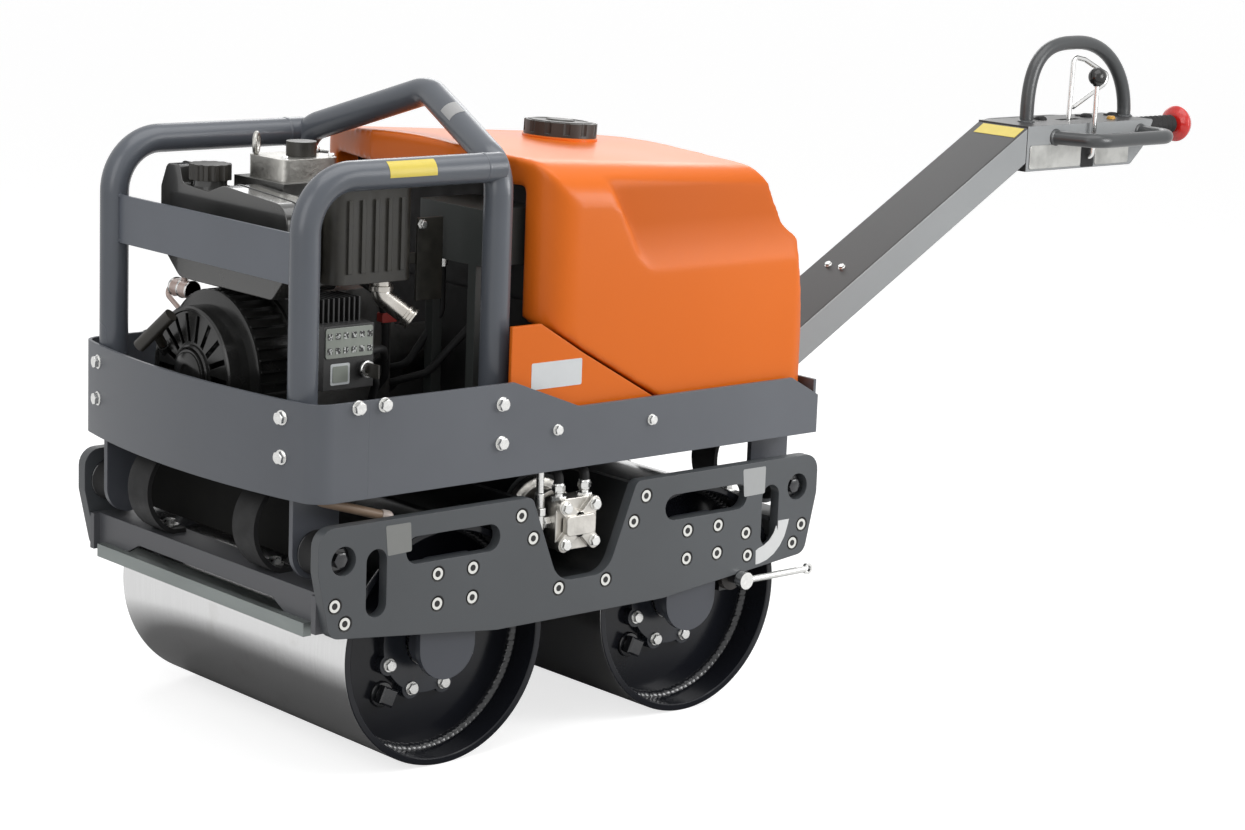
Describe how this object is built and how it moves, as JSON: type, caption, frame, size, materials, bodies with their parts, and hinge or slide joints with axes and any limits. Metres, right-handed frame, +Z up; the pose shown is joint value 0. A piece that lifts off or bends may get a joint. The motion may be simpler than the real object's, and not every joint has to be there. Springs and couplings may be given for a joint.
{
  "type": "walk behind vibratory roller",
  "caption": "Walk-behind roller with twin steel drums, side plates, an exciter, a caged engine, a water tank and a folding guide handle with control levers.",
  "frame": {"origin": "middle of the bounding box on the ground plane", "axes": "+X towards the handle and the operator, +Z up, the machine left hand side towards -Y"},
  "size_m": [2.5123, 0.718, 1.1072],
  "materials": {
    "frame_paint": "satin",
    "black_paint": "satin",
    "orange_plastic": "satin",
    "drum_steel": "worn",
    "zinc": "bright zinc",
    "machined": "cast",
    "engine_grey": "cast",
    "iron": "rough",
    "rubber": "matt",
    "black_plastic": "satin",
    "red_plastic": "satin",
    "clear_plastic": "translucent"
  },
  "bodies": {
    "machine": {"side_plate_left": "frame_paint", "side_plate_right": "frame_paint", "side_plate_bolts": "zinc", "cross_beams": "frame_paint", "scrapers": "zinc", "drum_carriers": "frame_paint", "bearings": "zinc", "drive_motors": "black_paint", "exciter_frame": "black_paint", "exciter_housing": "black_paint", "exciter_motor": "machined", "hydraulic_hoses": "rubber", "limit_straps": "rubber", "rubber_mounts": "rubber", "leg_brackets": "black_paint", "brake_bracket": "black_paint", "deck": "frame_paint", "side_skirts": "frame_paint", "front_bumper": "frame_paint", "rear_panel": "frame_paint", "skirt_bolts": "zinc", "cage": "frame_paint", "cage_front_plate": "frame_paint", "water_tank": "orange_plastic", "side_covers": "orange_plastic", "hydraulic_tank": "frame_paint", "battery": "black_plastic", "hydraulic_pump": "engine_grey", "engine_block": "iron", "engine_cylinder": "engine_grey", "valve_cover": "engine_grey", "fan_housing": "black_paint", "starter_cover": "black_paint", "fuel_tank": "black_plastic", "muffler": "black_paint", "exhaust_pipe": "zinc", "fuel_filter": "clear_plastic", "control_box": "black_plastic", "handle_bracket": "frame_paint"},
    "front_drum": {"front_drum": "drum_steel", "front_drum_hubs": "black_paint", "front_hub_bolts": "zinc"},
    "rear_drum": {"rear_drum": "drum_steel", "rear_drum_hubs": "black_paint", "rear_hub_bolts": "zinc"},
    "exciter_shaft": {"eccentric_shaft": "iron"},
    "crankshaft": {"flywheel": "iron"},
    "brake": {"brake_lever": "zinc"},
    "handle": {"handle_arm": "frame_paint", "head_cover": "frame_paint", "hand_tubes": "frame_paint", "button_bellows": "rubber"},
    "travel_lever": {"travel_lever": "zinc"},
    "vibration_lever": {"vibration_lever": "zinc"},
    "safety_button": {"safety_button": "red_plastic"},
    "water_cap": {"tank_cap": "black_plastic"},
    "fuel_cap": {"fuel_cap": "black_plastic"},
    "oil_cap": {"oil_cap": "black_plastic"},
    "starter": {"starter_handle": "black_plastic"},
    "key": {"ignition_key": "black_plastic"}
  },
  "joints": [
    {"name": "front_drum_roll", "type": "hinge", "parent": "machine", "child": "front_drum", "pos_m": [-0.9451, 0, 0.2], "axis": [0, 1, 0], "continuous": true},
    {"name": "rear_drum_roll", "type": "hinge", "parent": "machine", "child": "rear_drum", "pos_m": [-0.4151, 0, 0.2], "axis": [0, 1, 0], "continuous": true},
    {"name": "exciter_spin", "type": "hinge", "parent": "machine", "child": "exciter_shaft", "pos_m": [-0.6801, 0, 0.368], "axis": [0, 1, 0], "continuous": true},
    {"name": "crank_spin", "type": "hinge", "parent": "machine", "child": "crankshaft", "pos_m": [-1.1201, 0.032, 0.61], "axis": [1, 0, 0], "continuous": true},
    {"name": "brake_swing", "type": "hinge", "parent": "machine", "child": "brake", "pos_m": [-0.3191, -0.34, 0.226], "axis": [0, -1, 0], "range_deg": [0, 90]},
    {"name": "handle_fold", "type": "hinge", "parent": "machine", "child": "handle", "pos_m": [-0.0681, 0, 0.47], "axis": [0, -1, 0], "range_deg": [0, 60]},
    {"name": "travel_swing", "type": "hinge", "parent": "handle", "child": "travel_lever", "pos_m": [0.8819, 0, 0.91544], "axis": [0, 1, 0], "range_deg": [0, 18]},
    {"name": "vibration_swing", "type": "hinge", "parent": "handle", "child": "vibration_lever", "pos_m": [0.8689, -0.04, 0.87344], "axis": [1, 0, 0], "range_deg": [0, 18]},
    {"name": "button_press", "type": "slide", "parent": "handle", "child": "safety_button", "axis": [-1, 0, 0], "range_m": [0, 0.02], "stiffness_N_per_m": 400, "deforming": ["button_bellows"]},
    {"name": "water_cap_turn", "type": "hinge", "parent": "machine", "child": "water_cap", "pos_m": [-0.4671, 0, 0.96655], "axis": [0.0628, 0, 0.998], "range_deg": [0, 180]},
    {"name": "fuel_cap_turn", "type": "hinge", "parent": "machine", "child": "fuel_cap", "pos_m": [-1.1161, 0.112, 0.912], "axis": [0, 0, 1], "range_deg": [0, 90]},
    {"name": "oil_cap_turn", "type": "hinge", "parent": "machine", "child": "oil_cap", "pos_m": [-0.9981, 0.024, 0.955], "axis": [0, 0, 1], "range_deg": [0, 90]},
    {"name": "starter_pull", "type": "slide", "parent": "machine", "child": "starter", "axis": [-0.6185, -0.4289, 0.6584], "range_m": [0, 0.3], "stiffness_N_per_m": 20, "springref_m": -0.02},
    {"name": "key_turn", "type": "hinge", "parent": "machine", "child": "key", "pos_m": [-1.0561, -0.25, 0.65], "axis": [0, -1, 0], "range_deg": [0, 90]}
  ],
  "couplings": [
    {"joint": "rear_drum_roll", "follows": "front_drum_roll", "ratio": 1}
  ]
}
